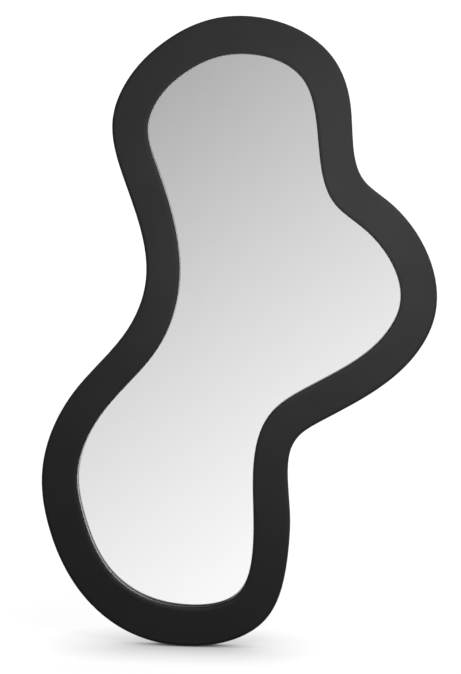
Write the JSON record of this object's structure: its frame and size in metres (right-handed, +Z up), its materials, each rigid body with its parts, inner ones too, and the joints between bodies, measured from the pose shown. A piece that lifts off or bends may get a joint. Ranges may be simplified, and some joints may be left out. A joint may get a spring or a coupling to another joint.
{
  "type": "irregular shaped wall mirror",
  "caption": "Wall mirror in a wavy, irregular black lacquered ring, with a recessed silvered glass, a hardboard back and swinging D ring hangers.",
  "frame": {"origin": "On the wall plane (rear faces of the bumpers), midway between the two hooks, at the height where the raised D rings bear on them.", "axes": "+X to the right seen from the front, +Y into the wall, +Z up. The mirror faces -Y."},
  "size_m": [0.6259, 0.0285, 1],
  "materials": {
    "black_lacquered_board": "satin black lacquer on fibreboard",
    "silvered_glass": "polished float glass, silvered back",
    "hardboard": "brown high density fibreboard, smooth",
    "zinc_screws": "bright zinc plating",
    "plated_strap": "zinc plated steel strip",
    "plated_wire": "zinc plated steel wire",
    "bumper_rubber": "moulded black rubber, matt",
    "foam_tape": "white double-sided foam tape"
  },
  "bodies": {
    "mirror": {"frame": "black_lacquered_board", "mirror_glass": "silvered_glass", "backing_board": "hardboard", "board_screws": "zinc_screws", "hanger_strap_left": "plated_strap", "hanger_strap_right": "plated_strap", "hanger_screws": "zinc_screws", "wall_bumper_top_left": "bumper_rubber", "wall_bumper_top_right": "bumper_rubber", "wall_bumper_bottom_left": "bumper_rubber", "wall_bumper_bottom_right": "bumper_rubber", "tape_strip_1": "foam_tape", "tape_strip_2": "foam_tape", "tape_strip_3": "foam_tape", "tape_strip_4": "foam_tape", "tape_strip_5": "foam_tape", "tape_strip_6": "foam_tape", "tape_strip_7": "foam_tape"},
    "d_ring_left": {"d_ring_left": "plated_wire"},
    "d_ring_right": {"d_ring_right": "plated_wire"}
  },
  "joints": [
    {"name": "d_ring_left_swing", "type": "hinge", "parent": "mirror", "child": "d_ring_left", "pos_m": [-0.16704, -0.0035, -0.018], "axis": [1, 0, 0], "range_deg": [0, 180]},
    {"name": "d_ring_right_swing", "type": "hinge", "parent": "mirror", "child": "d_ring_right", "pos_m": [0.16704, -0.0035, -0.018], "axis": [1, 0, 0], "range_deg": [0, 180]}
  ]
}
